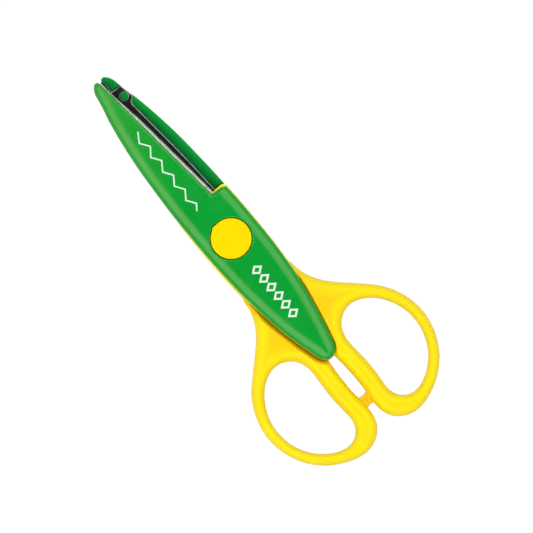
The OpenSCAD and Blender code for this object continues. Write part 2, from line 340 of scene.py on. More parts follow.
def spread(t, fac, lo, hi, a=0.3, b=0.7):
    m = t.nodes.new("ShaderNodeMapRange")
    m.inputs["From Min"].default_value = a
    m.inputs["From Max"].default_value = b
    m.inputs["To Min"].default_value = lo
    m.inputs["To Max"].default_value = hi
    t.links.new(fac, m.inputs["Value"])
    return m.outputs["Result"]


def mix(t, fac, a, b, kind="MIX"):
    m = t.nodes.new("ShaderNodeMix")
    m.data_type = "RGBA"
    m.blend_type = kind
    if isinstance(fac, float):
        m.inputs["Factor"].default_value = fac
    else:
        t.links.new(fac, m.inputs["Factor"])
    for s, v in (("A", a), ("B", b)):
        sock = [i for i in m.inputs if i.name == s and i.type == "RGBA"][0]
        if isinstance(v, tuple):
            sock.default_value = v
        else:
            t.links.new(v, sock)
    return [o for o in m.outputs if o.type == "RGBA"][0]


def bump(t, bsdf, parts):
    """Bumps one after another: (height, distance in metres, strength)."""
    last = None
    for h, dist, strength in parts:
        b = t.nodes.new("ShaderNodeBump")
        b.inputs["Distance"].default_value = dist
        b.inputs["Strength"].default_value = strength
        t.links.new(h, b.inputs["Height"])
        if last is not None:
            t.links.new(last, b.inputs["Normal"])
        last = b.outputs["Normal"]
    t.links.new(last, bsdf.inputs["Normal"])


def coords(t, stretch=None):
    c = t.nodes.new("ShaderNodeTexCoord").outputs["Object"]
    if stretch is None:
        return c
    m = t.nodes.new("ShaderNodeMapping")
    m.inputs["Scale"].default_value = stretch
    t.links.new(c, m.inputs["Vector"])
    return m.outputs["Vector"]


def plastic(name, deep, base, light, worn, rough, spec, seed=0.0, tip=None, glow=0.0, tint=(1, 1, 1, 1), depth_and_shade_colour=None, rim=None):
    """Moulded gloss plastic: slow colour clouding, faint flow lines, fine orange peel, rubbed convex edges."""
    m, t, b = node_set(name)
    c = coords(t)
    cloud = noise(t, c, 38.0 + seed, 3.0)
    fine = noise(t, c, 900.0, 2.0)
    flow = noise(t, coords(t, (30.0, 420.0, 420.0)), 1.0, 4.0)
    col = ramp(t, cloud, [(0.30, deep), (0.5, base), (0.72, light)])
    col = mix(t, spread(t, flow, 0.0, 0.35), col, light)
    if tip is not None:
        # the colour shifts to a yellower green towards the tip (rising X)
        x = t.nodes.new("ShaderNodeSeparateXYZ")
        t.links.new(c, x.inputs[0])
        col = mix(t, spread(t, x.outputs["X"], 0.0, 0.85, 0.012, 0.062), col, tip)
    if depth_and_shade_colour is not None:
        # this mix paints shade: on the handles it deepens the orange in grooves, seams, on the lugs and at edges, and
        # partly gives thick webs their real deeper colour; on the inner green it lightens the ledge away from the steel
        # strip
        at = t.nodes.new("ShaderNodeAttribute")
        at.attribute_name = "depth_and_shade"
        col = mix(t, at.outputs["Fac"], col, depth_and_shade_colour)
    if rim is not None:
        # painted light: the plate's thin top edge beside the cover is painted paler
        at = t.nodes.new("ShaderNodeAttribute")
        at.attribute_name = "rim"
        col = mix(t, at.outputs["Fac"], col, rim)
    if glow:
        b.inputs["Subsurface Weight"].default_value = glow
        b.inputs["Subsurface Radius"].default_value = (1.0, 0.45, 0.08)
        b.inputs["Subsurface Scale"].default_value = 0.0022
    geo = t.nodes.new("ShaderNodeNewGeometry").outputs["Pointiness"]
    rub = t.nodes.new("ShaderNodeMath")
    rub.operation = "MULTIPLY"
    t.links.new(spread(t, geo, 0.0, 1.0, 0.53, 0.60), rub.inputs[0])
    t.links.new(spread(t, noise(t, c, 240.0, 4.0, 0.7), 0.0, 0.5, 0.45, 0.65), rub.inputs[1])
    col = mix(t, rub.outputs[0], col, worn)
    t.links.new(col, b.inputs["Base Color"])
    r = t.nodes.new("ShaderNodeMath")
    r.operation = "ADD"
    t.links.new(spread(t, noise(t, c, 150.0, 5.0, 0.65), rough - 0.04, rough + 0.05), r.inputs[0])
    t.links.new(spread(t, geo, 0.0, 0.08, 0.53, 0.62), r.inputs[1])
    if tip is not None:
        r2 = t.nodes.new("ShaderNodeMath")
        r2.operation = "ADD"
        t.links.new(r.outputs[0], r2.inputs[0])
        t.links.new(spread(t, x.outputs["X"], 0.0, 0.10, 0.040, 0.066), r2.inputs[1])
        r = r2
    t.links.new(r.outputs[0], b.inputs["Roughness"])
    b.inputs["IOR"].default_value = 1.49
    b.inputs["Specular IOR Level"].default_value = spec
    b.inputs["Specular Tint"].default_value = tint
    bump(t, b, [(fine, 0.00002, 0.25), (flow, 0.00004, 0.12)])
    return m


def metal(name, dark, light, rough, metallic, brush, scale=1.0, spec=0.5):
    """Steel with grinding lines along `brush` (stretch of the noise on each axis) and stains."""
    m, t, b = node_set(name)
    lines = noise(t, coords(t, brush), scale, 4.0, 0.6)
    stain = noise(t, coords(t), 120.0, 4.0, 0.6)
    col = ramp(t, lines, [(0.3, dark), (0.7, light)])
    col = mix(t, spread(t, stain, 0.0, 0.3), col, dark)
    t.links.new(col, b.inputs["Base Color"])
    t.links.new(spread(t, lines, rough - 0.07, rough + 0.09), b.inputs["Roughness"])
    b.inputs["Metallic"].default_value = metallic
    b.inputs["Specular IOR Level"].default_value = spec
    bump(t, b, [(lines, 0.00002, 0.35)])
    return m


def rgb(r, g, b):
    """A colour from 0-255 display values."""
    f = [v / 255 / 12.92 if v / 255 <= 0.04045 else ((v / 255 + 0.055) / 1.055) ** 2.4 for v in (r, g, b)]
    return (f[0], f[1], f[2], 1.0)


GREEN = plastic("green_moulded", (0.0002, 0.284, 0.026, 1), (0.0004, 0.304, 0.030, 1), (0.005, 0.320, 0.033, 1),
                (0.05, 0.36, 0.08, 1), 0.205, 0.5, tip=(0.012, 0.312, 0.027, 1), tint=(1.0, 1.0, 0.6, 1))
# painted shade: a darker copy of the cover green for the faces on the inner side, which lie in the other half's shade;
# the rear cover's ledge and the stake heads show it
GREEN_IN_SHADED = plastic("green_matt_inner_painted_shade", (0.0001, 0.126, 0.022, 1), (0.0003, 0.140, 0.027, 1), (0.001, 0.156, 0.031, 1),
                   (0.02, 0.25, 0.05, 1), 0.6, 0.06, tint=(1.0, 1.0, 0.6, 1), depth_and_shade_colour=(0.002, 0.325, 0.038, 1))
# the deeper orange is painted shade and partly the real colour of thick webs; the pale colour is a painted highlight on
# the plate's top edge
YELLOW = plastic("yellow_moulded", (0.86, 0.665, 0.0006, 1), (0.88, 0.697, 0.0008, 1), (0.90, 0.724, 0.001, 1),
                 (0.92, 0.74, 0.05, 1), 0.43, 0.42, seed=7.0, glow=0.38, tint=(1.0, 0.98, 0.38, 1),
                 depth_and_shade_colour=(0.90, 0.475, 0.0005, 1), rim=(0.94, 0.90, 0.05, 1))
CAPY = plastic("yellow_cap_moulded", (0.86, 0.600, 0.001, 1), (0.88, 0.632, 0.0015, 1), (0.90, 0.670, 0.002, 1),
               (0.92, 0.68, 0.04, 1), 0.30, 0.30, seed=3.0, tint=(1.0, 0.95, 0.12, 1))
STEEL = metal("strip_ground_steel", (0.88, 0.92, 0.87, 1), (0.96, 0.99, 0.95, 1), 0.42, 0.06, (700.0, 60.0, 60.0))
BEVEL = metal("strip_bevel_steel", (0.30, 0.31, 0.30, 1), (0.52, 0.53, 0.52, 1), 0.34, 0.8, (60.0, 500.0, 500.0))
# painted shade and painted reflection: the near-black of the strips' inner faces stands in for the shade under the
# other blade and the dark reflection of their polished face
BLACK_FACE_SHADE = metal("strip_face_painted_shade_black", (0.005, 0.006, 0.0055, 1), (0.010, 0.012, 0.011, 1), 0.50, 0.05, (60.0, 700.0, 60.0), spec=0.22)
LINE = metal("strip_polished_edge", (0.42, 0.42, 0.40, 1), (0.62, 0.61, 0.57, 1), 0.35, 0.55, (300.0, 300.0, 60.0))
PIN = metal("pivot_turned_steel", (0.19, 0.20, 0.21, 1), (0.55, 0.57, 0.60, 1), 0.30, 1.0, (40.0, 40.0, 900.0))


def ink_material():
    m, t, b = node_set("white_print")
    c = coords(t)
    n = noise(t, c, 1500.0, 3.0)
    t.links.new(ramp(t, n, [(0.3, (0.60, 0.74, 0.60, 1)), (0.7, (0.70, 0.83, 0.70, 1))]), b.inputs["Base Color"])
    t.links.new(spread(t, n, 0.42, 0.55), b.inputs["Roughness"])
    bump(t, b, [(n, 0.00001, 0.3)])
    return m


INK = ink_material()

# ------------------------------------------------------------------ outlines
fine_x = np.concatenate([BUTT + 3.6 * (1 - np.cos(np.linspace(0, np.pi / 2, 22))),
                         np.arange(-52.4, 70.4, 0.5),
                         TIP - 4.0 * (1 - np.sin(np.linspace(0.03, np.pi / 2, 26)))])
fine_x = np.unique(np.round(fine_x, 4))
back = fine_x[fine_x <= SHOULDER]
fore = np.unique(np.concatenate([fine_x[fine_x > SHOULDER], TIP - 1.3 * (1 - np.sin(np.linspace(0.0, np.pi / 2, 12)))]))
y_tip = 1.0


def y_cut(x):
    return 1 + (cut_y(x) - 1) * round_end(TIP - x, 1.3)


chain_out = np.concatenate([np.stack([back[::-1], y_in(back[::-1])], 1),
                            np.stack([fine_x, y_out(fine_x)], 1)])
chain_cut = np.stack([fore[::-1], y_cut(fore[::-1])], 1)
chain_sh = np.array([[SHOULDER, float(y_cut(SHOULDER))], [SHOULDER, float(y_in(SHOULDER))]])
# two runs of the outer line: butt round to the tip, then the cutting side, the shoulder and back
COVER = np.concatenate([np.stack([fine_x, y_out(fine_x)], 1), chain_cut,
                        chain_sh, np.stack([back[::-1], y_in(back[::-1])], 1)])
keep = np.ones(len(COVER), bool)
keep[1:] = np.linalg.norm(np.diff(COVER, axis=0), axis=1) > 1e-5
COVER = COVER[keep]

fx0, fx1, fy0, fy1 = -60.0, 78.0, -14.0, 14.0
sd_cover = Field(fx0, fx1, fy0, fy1, 0.2, lambda x, y: distance(x, y, COVER))
d_out = Field(fx0, fx1, fy0, fy1, 0.2, lambda x, y: distance(x, y, chain_out, False))
d_cut = Field(fx0, fx1, fy0, fy1, 0.2, lambda x, y: distance(x, y, chain_cut, False))
d_sh = Field(fx0, fx1, fy0, fy1, 0.2, lambda x, y: distance(x, y, chain_sh, False))

bx = np.array([17.7, 22, 27, 32, 37, 42, 47, 52, 56, 60])
BACKING = np.concatenate([np.stack([bx, along(STRIP, bx)], 1), [[61.6, 4.9], [62.4, 5.4], [66, 4.8], [67.8, 4.4]],
                          [[67.8, cut_y(67.8) + 0.1], [17.7, cut_y(17.7) + 0.1]]])
bx = np.array([17.2, 22, 27, 32, 37, 42, 47, 52, 56, 60])
BED = np.concatenate([np.stack([bx, along(STRIP, bx) + 0.15], 1),
                      [[60.6, 4.3], [61.1, 5.2], [61.7, 6.8], [66.3, 6.2], [68.2, 5.8], [68.2, 1.12], [73.2, 0.95],
                       [73.6, edge_y(73.6) + 0.2], [73.6, edge_y(73.6) - 1], [17.2, edge_y(17.2) - 1]]])
sd_back = Field(14.0, 78.0, -9.0, 8.0, 0.1, lambda x, y: distance(x, y, BACKING))
sd_bed = Field(14.0, 78.0, -9.0, 8.0, 0.1, lambda x, y: distance(x, y, BED))


def lip(deg):
    """How far the cap's thumbnail lip stands out at a polar angle."""
    return 0.42 * np.clip(np.minimum((deg - 6) / 14, (29 - deg) / 9), 0, 1)


def cover_field(s):
    """The moulded cover: s = 1 for the front half, -1 for the rear one."""
    def fn(x, y, z):
        top = top_z(x)
        u1 = np.maximum(0, 1 - d_out(x, y) / ROUND_W)
        u2 = np.maximum(np.maximum(0, 1 - d_cut(x, y) / 0.8), np.maximum(0, 1 - d_sh(x, y) / 1.3))
        # the crown falls off towards the butt and the tip as well
        u = np.minimum(1, np.sqrt(u1 * u1 + u2 * u2))
        v = np.maximum(0, 1 - (top - z) / ROUND_H)
        f = (np.sqrt(u * u + v * v) - 1) * 2.0
        f = np.maximum(f, -sd_cover(x, y))
        f = np.maximum(f, np.minimum(17.6 - x, 3.22 - z))
        f = np.maximum(f, np.minimum(np.minimum(x - 17.5, 68.3 - x), LEDGE - z))
        f = np.maximum(f, 0.1 - z)
        b = np.maximum(-sd_back(x, y), np.maximum(-1.2 - z, z - 2.4))
        b = np.where((x < 15) | (x > 77), 5.0, b)
        f = np.minimum(f, b)
        r = np.hypot(x, y)
        cut = np.minimum(sd_bed(x, y), (s * wave(r) + 0.68 - z) * 0.83)
        f = np.maximum(f, np.where((x < 15) | (x > 77), -5.0, cut))
        for px, py in ((-30, -1), (-43, -0.8)):
            f = np.minimum(f, np.maximum(np.hypot(x - px, y - py) - 1.4, np.maximum(1.2 - z, z - 3.7)))
        f = np.maximum(f, 5.5 - r)
        return np.maximum(f, np.minimum(7.7 + lip(np.degrees(np.arctan2(y, x))) - r, z - 4.6))
    return fn


def lathe(profile, n, x0=0.0, y0=0.0):
    """Points and faces of a profile of (r, z) turned about Z; both ends on the axis."""
    p = [(x0, y0, profile[0][1])]
    f = []
    for r, z in profile[1:-1]:
        p += [(x0 + r * math.cos(2 * math.pi * k / n), y0 + r * math.sin(2 * math.pi * k / n), z) for k in range(n)]
    p.append((x0, y0, profile[-1][1]))
    m = len(profile) - 2
    for k in range(n):
        f.append((0, 1 + (k + 1) % n, 1 + k))
        for i in range(m - 1):
            a, b = 1 + i * n, 1 + (i + 1) * n
            f.append((a + k, a + (k + 1) % n, b + (k + 1) % n, b + k))
        f.append((1 + (m - 1) * n + k, 1 + (m - 1) * n + (k + 1) % n, len(p) - 1))
    return np.array(p), f


def stake_mesh():
    """Melted head of the heat stake, a low dome with a soft rim, and its post."""
    prof = [(0, -0.36), (0.45, -0.35), (0.85, -0.31), (1.15, -0.24), (1.38, -0.15), (1.53, -0.05), (1.6, 0.02),
            (1.57, 0.045), (1.0, 0.045), (1.0, 1.4), (0, 1.4)]
    return lathe(prof, 48, *STAKE)


def build_cover(name, s, body, flip):
    h = 0.36
    p, f = surface(cover_field(s), (-57, -12, -1.7), (75.2, 12, 6.6), h)
    q, g = stake_mesh()
    faces = [list(a) for a in f] + [[i + len(p) for i in a] for a in g]
    v = np.asarray(p)
    quads = v[np.asarray(f)]
    normal = np.cross(quads[:, 2] - quads[:, 0], quads[:, 3] - quads[:, 1])
    normal /= np.maximum(np.linalg.norm(normal, axis=1, keepdims=True), 1e-12)
    # faces on the inner side take the darker, painted-shade green
    inner = (normal[:, 2] < -0.35) & (quads[:, :, 2].mean(1) < 3.4)
    ob = make_mesh(name, np.concatenate([p, q]), faces, body, (name.replace("_shell", ""),),
                   flip=flip, mats=(GREEN, GREEN_IN_SHADED), face_mat=list(inner.astype(int)) + [1] * len(g))
    # painted shade: the ledge is darkest next to the steel strip and lighter towards its outer edge; the tip block and
    # the stake head get fixed middle values
    depth_and_shade = np.clip(1.04 - d_out(v[:, 0], v[:, 1]) / 2.9, 0, 1)
    depth_and_shade = np.where(v[:, 0] > 66.8, 0.5 * depth_and_shade + 0.18, depth_and_shade)
    layer = ob.data.attributes.new("depth_and_shade", "FLOAT", "POINT")
    layer.data.foreach_set("value", np.concatenate([depth_and_shade, np.full(len(q), 0.45)]).astype(np.float32))
    return ob


# ------------------------------------------------------------------ handles
L_OUT = evened(loop_curve(LOOP_OUTER + LOOP_CLOSE, 6), 1.9) * [1, -1]
L_HOLE = evened(loop_curve(LOOP_HOLE, 8), 1.9) * [1, -1]
hx0, hx1, hy0, hy1 = -94.0, 20.0, -40.0, 14.0
s_loop = Field(hx0, hx1, hy0, hy1, 0.25, lambda x, y: distance(x, y, L_OUT), 0.6)
s_hole = Field(hx0, hx1, hy0, hy1, 0.25, lambda x, y: -distance(x, y, L_HOLE), 0.6)
px = fine_x[fine_x < 15]
PLATE = np.concatenate([np.stack([px, y_out(px) + 0.2], 1),
                        [[15, 11.2], [16.6, 10.9], [17.3, 9.8], [17.3, 0], [17.08, -3], [17.08, -9.9], [16.8, -10.8], [16.2, -11.1], [15, -11.25]],
                        np.stack([px[::-1], y_in(px[::-1]) - 0.3], 1)])
s_plate = Field(hx0, hx1, hy0, hy1, 0.25, lambda x, y: distance(x, y, PLATE))
s_own = Field(hx0, hx1, hy0, hy1, 0.25, lambda x, y: distance(x, y, COVER))
s_other = Field(hx0, hx1, hy0, hy1, 0.25, lambda x, y: distance(x, -y, COVER))
sx = np.arange(0, 61, 5.0)
TANG = np.concatenate([np.stack([7.2 * np.cos(np.radians(np.arange(250, 109, -10))),
                                 7.2 * np.sin(np.radians(np.arange(250, 109, -10)))], 1),
                       np.stack([sx, along(STRIP, sx)], 1), [[60, -2.2], [17, edge_y(17)], [8, -7], [0, -7.2]]])
s_tang = Field(hx0, hx1, hy0, hy1, 0.2, lambda x, y: distance(x, y, TANG))


def handle_field(x, y, z):
    so, sh = s_loop(x, y), s_hole(x, y)
    r = 0.5 * (so + sh)
    r = np.clip(-np.log(np.exp(-np.clip(r, -5, 30) * 1.6) + math.exp(-3.3 * 1.6)) / 1.6, 1.2, 3.3)
    h2 = np.maximum(0, 1 - so / r) ** 2 + np.maximum(0, 1 - sh / r) ** 2
    dish = 0.5 * ease((np.minimum(so, sh) - 3.3) / 3.5)
    up = 3.3 + (LOOP_HALF - 3.3) * ease((-19 - x) / 14)
    down = 0.3 + (LOOP_HALF - 0.3) * ease((-21 - x) / 10)
    t = np.where(z > 0, up, down) - dish
    loop = (np.abs(z / t) ** 2.1 + h2 - 1) * 1.7
    # the upper side stands close round its own cover, the lower side leaves room for the other half's
    a = 3.2 - z
    loop = smax(loop, np.minimum(s_own(x, y) + 0.36, -a), 0.55)
    room = HAND_GAP - 0.4 + 1.0 * np.clip((-z - 1.4) / 2.4, 0, 1)
    loop = smax(loop, np.minimum((s_other(x, y) + room) * 0.96, HALF_GAP - z), 0.6)
    plate = np.maximum(-s_plate(x, y), np.maximum(HALF_GAP - z, z - PLATE_TOP))
    f = np.minimum(loop, plate)
    f = np.maximum(f, np.minimum(x + 22.0, z - PLATE_TOP))
    f = np.maximum(f, np.minimum(x + 22.0, HALF_GAP - z))
    # closing stop
    lug = np.stack([np.abs(x + 75.8) - 2.3, np.abs(y + 1.74) - 1.73, np.abs(z) - 1.7])
    q = np.maximum(lug + 0.55, 0)
    lug = np.sqrt((q * q).sum(0)) + np.minimum((lug + 0.55).max(0), 0) - 0.55
    f = smin(f, lug, 0.3)
    # bed of the steel tang, peg holes, bore
    f = np.maximum(f, np.minimum(s_tang(x, y) + 0.2, 0.68 - z))
    for px_, py_ in ((-30, -1), (-43, -0.8)):
        f = np.maximum(f, np.minimum(1.5 - np.hypot(x - px_, y - py_), z - 1.0))
    return np.maximum(f, 2.55 - np.hypot(x, y))


def build_handle(name, body, flip):
    p, f = surface(handle_field, (-91.6, -37.4, -5.1), (18.2, 12.6, 5.1), 0.4)
    ob = make_mesh(name, p, f, body, (name.replace("_moulding", ""),), flip=flip, mats=(YELLOW,))
    x, y, z = p.T
    so, sh = s_loop(x, y), s_hole(x, y)
    so = np.maximum(so, s_plate(x, y))
    # the deeper-orange mix: partly the real deeper colour of thick webs, and painted shade at the outline edges, on the
    # closing lugs, in the seam along its own cover and in the groove and underside along the other half's cover
    depth_and_shade = 0.55 * ease((np.minimum(so, sh) - 1.9) / 4.6) * ease((-14 - x) / 10)
    depth_and_shade = np.maximum(depth_and_shade, 0.35 * (1 - ease((np.minimum(so, sh) + 0.1) / 0.9)) * (x < -14))
    depth_and_shade = np.maximum(depth_and_shade, np.where((np.abs(x + 75.8) < 2.6) & (y > -1.9), 0.8, 0.0))
    depth_and_shade = np.maximum(depth_and_shade, 0.9 * (1 - ease((np.abs(s_own(x, y)) - 0.3) / 1.3)) * (z > 3.0) * (x < -22))
    depth_and_shade = np.maximum(depth_and_shade, 0.55 * (1 - ease((np.abs(s_other(x, y) + 0.9) - 0.2) / 1.1)) * (z < 0.3) * (x < -20))
    depth_and_shade = np.where((s_other(x, y) > -1.15) & (z < -0.3) & (x < -20), 0.3, depth_and_shade)
    layer = ob.data.attributes.new("depth_and_shade", "FLOAT", "POINT")
    layer.data.foreach_set("value", np.clip(depth_and_shade, 0, 1).astype(np.float32))
    # painted light: a paler strip along the plate's top edge next to the cover
    rim = (1 - ease((s_plate(x, y) - 0.5) / 0.8)) * ease((z - 2.75) / 0.4) * ease((x + 27) / 8) * (s_loop(x, y) < 0.6)
    layer = ob.data.attributes.new("rim", "FLOAT", "POINT")
    layer.data.foreach_set("value", np.clip(rim, 0, 1).astype(np.float32))
    return ob


# ------------------------------------------------------------------ steel strips
def edge_line():
    """Cutting side of a strip, from the tang to the lip's end, as points of rising radius."""
    x = np.concatenate([[0, 4, 8, 11, 14], np.arange(17, 73.01, 0.5), [73.2, 73.4]])
    y = np.where(x >= 17, edge_y(x), -7.2 + 0.025 * x)
    y = np.where((x > 8) & (x < 17), -7 + (x - 8) / 9 * (edge_y(17) + 7), y)
    y[-2:] = edge_y(73.0) + np.array([0.08, 0.35])
    return np.stack([x, y], 1)


def outer_line():
    x = np.arange(0, 60.01, 1.0)
    a = np.stack([x, along(STRIP, x)], 1)
    tab = loop_curve([[59, 3.98], [60, 3.95], [60.8, 4.2], [61.4, 4.85], [62.1, 5.75], [63.4, 5.72], [66, 5.12], [67.9, 4.72]], 6)
    return a, tab[6:-6]


def polar(points):
    q = np.asarray(points, float)
    return np.hypot(q[:, 0], q[:, 1]), np.arctan2(q[:, 1], q[:, 0])


def build_blade(name, s, body, flip):
    """Corrugated strip as rows of constant distance from the pivot, so that each crest is a clean fold."""
    a, tab = outer_line()
    r1, t1 = polar(edge_line())
    up = np.concatenate([a, tab])
    r2, t2 = polar(up)
    order = np.argsort(r2)
    r2, t2 = r2[order], t2[order]
    rows = np.unique(np.round(np.concatenate([np.arange(7.2, 68.05, 0.5), FLAT_R + PITCH * (np.arange(0, 6.01, 0.25)),
                                              (FLAT_R + PITCH * (np.arange(0, 6.01, 0.25)))[:, None].repeat(2, 1).ravel()
                                              + np.tile([-0.22, 0.22], 25), [60.9, 61.2, 61.6, 62.0, 62.4]]), 3))
    rows = rows[(rows >= 7.2) & (rows <= 68.05)]
    lip = np.arange(68.1, 73.3, 0.5)
    nv = 22
    ds = np.array([0, 0.06, 0.22, 0.42, 0.5, 1.35])
    de = np.array([0.26, 0.14, 0.0])

    def sides(r):
        lo = np.interp(r, r1, t1)
        hi = np.interp(r, r2, t2)
        if r <= 7.2:
            lo, hi = -math.pi / 2, math.pi / 2
        return lo, hi

    def f(r):
        k = np.linspace(-0.3, 0.3, 7)
        return float(np.mean(wave(np.maximum(r + k, 0)))) * s

    pts, kind, grid = [], [], []

    def add(r, th, z, side):
        pts.append((r * math.cos(th), r * math.sin(th), z))
        kind.append(side)
        return len(pts) - 1

    def row(r, lo, hi, lipped=False):
        w = r * (hi - lo)
        n_mid = nv - len(ds) - len(de)
        if w < 3:
            d = np.linspace(0, w, nv)
        else:
            d = np.concatenate([ds, np.linspace(ds[-1], w - de[0], n_mid + 2)[1:-1], w - de])
        th = lo + d / r
        inner, outer = [], []
        for dk, tk in zip(d, th):
            bevel = 0.36 * max(0.0, 1 - dk / 0.44) if r > 14 else 0.0
            edge = 0.11 * max(0.0, 1 - (w - dk) / 0.14) if r > 7.3 else 0.0
            fall = 0.11 * max(0.0, 1 - (w - dk) / 0.26) if r > 7.3 else 0.0
            inner.append(add(r, tk, f(r) + HALF_GAP + edge, 0))
            outer.append(add(r, tk, f(r) + HALF_GAP + STEEL_T - bevel - fall, 1))
        return inner, outer

    table = []
    for r in rows:
        table.append((r,) + row(r, *sides(r)))
    for r in lip:
        lo = float(np.interp(r, r1, t1))
        hi = math.asin((0.95 - 0.18 * min(1, max(0, (r - 70) / 3))) / r)
        table.append((r,) + row(r, lo, hi, True))
    faces, mat = [], []

    def quad(q, m):
        faces.append(q)
        mat.append(m)

    for i in range(len(table) - 1):
        r, i0, o0 = table[i]
        rn, i1, o1 = table[i + 1]
        step = r < 68.07 < rn
        for k in range(nv - 1):
            end = 67.6 < r < 68.07 and pts[i0[k]][1] > 1.0
            margin = (k >= nv - 3 and r > 16) or end or step
            quad((i0[k], i1[k], i1[k + 1], i0[k + 1]), 2 if margin else 1)
            quad((o0[k], o0[k + 1], o1[k + 1], o1[k]), 3 if k < 3 and r > 14 else 0)
        quad((i0[0], o0[0], o1[0], i1[0]), 3)
        quad((i0[-1], i1[-1], o1[-1], o0[-1]), 2)
    r, i0, o0 = table[-1]
    for k in range(nv - 1):
        quad((i0[k], o0[k], o0[k + 1], i0[k + 1]), 2)
    # tang: rings round the bore, the front part of the last ring is the first row
    nb = 26
    lo, hi = -math.pi / 2, math.pi / 2
    fr = [math.atan2(pts[j][1], pts[j][0]) for j in table[0][1]]
    ba = list(np.linspace(hi, 2 * math.pi + lo, nb + 2)[1:-1])
    ang = fr + ba
    ring_r = [2.55, 2.75, 3.6, 4.8, 6.0, 6.95]
    prev_i = prev_o = None
    for r in ring_r:
        c = 0.06 if r < 2.6 else 0.0
        ri = [add(r, th, HALF_GAP + c, 0) for th in ang]
        ro = [add(r, th, HALF_GAP + STEEL_T - c, 1) for th in ang]
        n = len(ang)
        for k in range(n):
            j = (k + 1) % n
            if prev_i is None:
                quad((ri[k], ri[j], ro[j], ro[k]), 2)
            else:
                quad((prev_i[k], ri[k], ri[j], prev_i[j]), 1)
                quad((prev_o[k], prev_o[j], ro[j], ro[k]), 0)
        prev_i, prev_o = ri, ro
    li = table[0][1] + [add(7.2, th, HALF_GAP + 0.06, 0) for th in ba]
    lo_ = table[0][2] + [add(7.2, th, HALF_GAP + STEEL_T - 0.06, 1) for th in ba]
    n = len(ang)
    for k in range(n):
        j = (k + 1) % n
        quad((prev_i[k], li[k], li[j], prev_i[j]), 1)
        quad((prev_o[k], prev_o[j], lo_[j], lo_[k]), 0)
        if k >= nv - 1:
            quad((li[k], lo_[k], lo_[j], li[j]), 2)
    # coined rim of the stake hole
    n, base = 48, len(pts)
    for rr, zz in ((1.56, 0.1), (1.56, 0.0), (1.64, -0.045), (1.72, -0.03), (1.78, 0.06), (1.78, 0.1)):
        pts += [(STAKE[0] + rr * math.cos(2 * math.pi * k / n), STAKE[1] + rr * math.sin(2 * math.pi * k / n),
                 HALF_GAP + zz) for k in range(n)]
    for k in range(n):
        for i in range(6):
            a_, b_ = base + i * n, base + ((i + 1) % 6) * n
            quad((a_ + k, a_ + (k + 1) % n, b_ + (k + 1) % n, b_ + k), 3)
    ob = make_mesh(name, pts, faces, body, (name.replace("_strip", ""),), flip=flip,
                   mats=(STEEL, BLACK_FACE_SHADE, LINE, BEVEL), face_mat=mat)
    bm = bmesh.new()
    bm.from_mesh(ob.data)
    bmesh.ops.recalc_face_normals(bm, faces=bm.faces)
    for e in bm.edges:
        if len(e.link_faces) == 2 and e.calc_face_angle(0) > math.radians(24):
            e.smooth = False
    bm.to_mesh(ob.data)
    bm.free()
    return ob


# ------------------------------------------------------------------ caps and print
def build_cap(name, body, flip):
    """Flush pivot cap: soft rim, faint dished face, one small thumbnail lip in the rim."""
    n = 240
    rim = [(4.3, 4.95), (4.55, 4.9), (4.7, 4.75), (4.8, 3.95), (4.95, 3.8), (5.3, 3.8), (5.42, 3.95), (5.45, 4.55),
           (5.6, 4.62), (7.15, 4.62), (7.34, 4.68), (7.4, 4.85), (7.4, 5.5), (7.37, 5.68), (7.29, 5.82),
           (7.16, 5.93), (6.98, 5.99), (6.8, 6.0), (6.6, 5.99), (5.8, 5.965), (4.6, 5.94), (3.0, 5.92), (1.5, 5.91)]
    p, f = lathe([(0, 4.95)] + rim + [(0, 5.91)], n)
    th = np.degrees(np.arctan2(p[:, 1], p[:, 0]))
    rr = np.hypot(p[:, 0], p[:, 1])
    k = 1 + lip(th) * np.clip((rr - 6.4) / 1.0, 0, 1) / np.maximum(rr, 1)
    p[:, 0] *= k
    p[:, 1] *= k
    p[:, 2] -= np.where(p[:, 2] > 5.4, lip(th) * np.clip((rr - 6.6) / 0.7, 0, 1) * 0.35, 0)
    f = [tuple(reversed(a)) for a in f]
    ob = make_mesh(name, p, f, body, (name.replace("_disc", ""),), flip=flip, mats=(CAPY,))
    bm = bmesh.new()
    bm.from_mesh(ob.data)
    bmesh.ops.recalc_face_normals(bm, faces=bm.faces)
    bm.to_mesh(ob.data)
    bm.free()
    return ob


def ribbon(points, width, closed=False):
    """Left and right lines of a mitred stroke."""
    p = np.asarray(points, float)
    n = len(p)
    left, right = [], []
    for i in range(n):
        a = p[i] - p[i - 1] if i > 0 or closed else p[i + 1] - p[i]
        b = p[(i + 1) % n] - p[i] if i < n - 1 or closed else p[i] - p[i - 1]
        a, b = a / np.linalg.norm(a), b / np.linalg.norm(b)
        m = np.array([-(a[1] + b[1]), a[0] + b[0]])
        m /= np.linalg.norm(m)
        k = width / 2 / max(0.35, float(m @ np.array([-a[1], a[0]])))
        left.append(p[i] + m * k)
        right.append(p[i] - m * k)
    return np.array(left), np.array(right)


